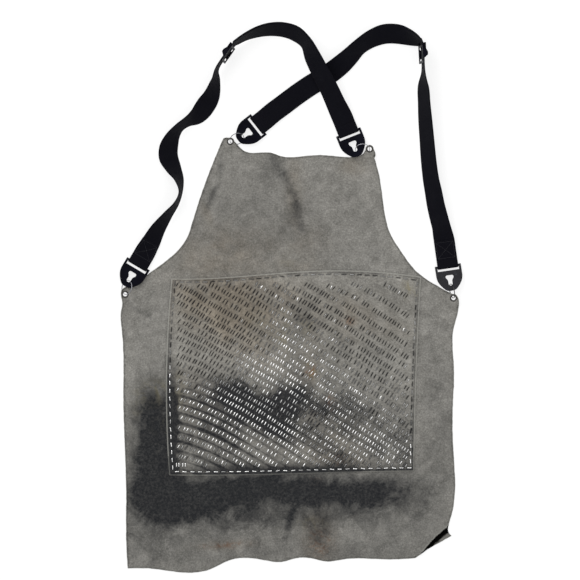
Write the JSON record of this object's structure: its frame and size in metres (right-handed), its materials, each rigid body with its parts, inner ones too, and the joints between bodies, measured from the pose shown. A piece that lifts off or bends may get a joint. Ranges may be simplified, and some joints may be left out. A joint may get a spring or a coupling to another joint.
{
  "type": "welding apron",
  "caption": "Bib apron of grey split leather for metalwork, with a staple-armoured patch over the belly and a crossed elastic harness that hooks to its corners.",
  "frame": {"origin": "back face of the leather, behind the middle of the reinforcement patch", "axes": "+Y towards the bib and harness, +X to the right seen from the front, +Z out of the front face"},
  "size_m": [0.6227, 0.9999, 0.0508],
  "materials": {
    "leather": "suede split, sooty",
    "patch_leather": "suede split, worn and sooty",
    "staple_steel": "worn wire",
    "gunmetal": "dark plated",
    "ring_steel": "dull plated spring wire",
    "black_plastic": "moulded satin",
    "webbing": "woven elastic",
    "thread": "bonded thread"
  },
  "bodies": {
    "apron": {"border_staples": "staple_steel", "eyelet_left_bib": "gunmetal", "eyelet_left_waist": "gunmetal", "eyelet_right_bib": "gunmetal", "eyelet_right_waist": "gunmetal", "leather_body": "leather", "left_bib_fixed_webbing": "webbing", "left_bib_running_webbing": "webbing", "left_waist_webbing": "webbing", "reinforcement_patch": "patch_leather", "right_bib_fixed_webbing": "webbing", "right_bib_running_webbing": "webbing", "right_waist_webbing": "webbing", "sewn_loop_left_waist": "webbing", "sewn_loop_right_waist": "webbing", "stitching_left_waist": "thread", "stitching_right_waist": "thread", "washer_left_bib": "gunmetal", "washer_left_waist": "gunmetal", "washer_right_bib": "gunmetal", "washer_right_waist": "gunmetal", "webbing_turn_left_bib": "webbing", "webbing_turn_right_bib": "webbing"},
    "harness": {"left_back_webbing": "webbing", "left_fixed_webbing": "webbing", "left_running_webbing": "webbing", "right_back_webbing": "webbing", "right_fixed_webbing": "webbing", "right_running_webbing": "webbing"},
    "left_adjuster": {"left_slider": "black_plastic", "left_slider_loop": "webbing", "left_slider_stitching": "thread"},
    "right_adjuster": {"right_slider": "black_plastic", "right_slider_loop": "webbing", "right_slider_stitching": "thread"},
    "ring_left_waist": {"split_ring_left_waist": "ring_steel"},
    "end_left_waist": {"end_piece_left_waist": "black_plastic"},
    "ring_right_waist": {"split_ring_right_waist": "ring_steel"},
    "end_right_waist": {"end_piece_right_waist": "black_plastic"},
    "ring_left_bib": {"split_ring_left_bib": "ring_steel"},
    "end_left_bib": {"end_piece_left_bib": "black_plastic"},
    "ring_right_bib": {"split_ring_right_bib": "ring_steel"},
    "end_right_bib": {"end_piece_right_bib": "black_plastic"}
  },
  "joints": [
    {"name": "harness_lift", "type": "hinge", "parent": "apron", "child": "harness", "pos_m": [0, 0.49, 0.036], "axis": [1, 0, 0], "range_deg": [0, 70]},
    {"name": "left_adjuster_slide", "type": "slide", "parent": "harness", "child": "left_adjuster", "axis": [-0.5742, -0.8187, 0], "range_m": [0, 0.012]},
    {"name": "right_adjuster_slide", "type": "slide", "parent": "harness", "child": "right_adjuster", "axis": [0.0531, -0.9986, 0], "range_m": [0, 0.012]},
    {"name": "ring_spin_left_waist", "type": "hinge", "parent": "apron", "child": "ring_left_waist", "pos_m": [-0.30196, 0.15684, 0.01019], "axis": [0.6861, -0.1711, -0.7071], "continuous": true},
    {"name": "end_piece_rock_left_waist", "type": "hinge", "parent": "apron", "child": "end_left_waist", "pos_m": [-0.282, 0.198, 0.0052], "axis": [0.8616, -0.5075, 0], "range_deg": [-1.5, 2]},
    {"name": "ring_spin_right_waist", "type": "hinge", "parent": "apron", "child": "ring_right_waist", "pos_m": [0.28876, 0.15014, 0.01356], "axis": [0.9482, 0.1843, -0.2588], "continuous": true},
    {"name": "end_piece_rock_right_waist", "type": "hinge", "parent": "apron", "child": "end_right_waist", "pos_m": [0.2816, 0.195, 0.0052], "axis": [0.9895, 0.1444, 0], "range_deg": [-3, 6]},
    {"name": "ring_spin_left_bib", "type": "hinge", "parent": "apron", "child": "ring_left_bib", "pos_m": [-0.10205, 0.4266, 0.01019], "axis": [0.2649, -0.6556, 0.7071], "continuous": true},
    {"name": "end_piece_rock_left_bib", "type": "hinge", "parent": "apron", "child": "end_left_bib", "pos_m": [-0.064, 0.452, 0.0052], "axis": [0.6198, -0.7848, 0], "range_deg": [-1.5, 2]},
    {"name": "ring_spin_right_bib", "type": "hinge", "parent": "apron", "child": "ring_right_bib", "pos_m": [0.12619, 0.40734, 0.0097], "axis": [-0.0467, 0.6675, -0.7431], "continuous": true},
    {"name": "end_piece_rock_right_bib", "type": "hinge", "parent": "apron", "child": "end_right_bib", "pos_m": [0.101, 0.4373, 0.0052], "axis": [0.9298, 0.3681, 0], "range_deg": [-2, 1.5]}
  ]
}
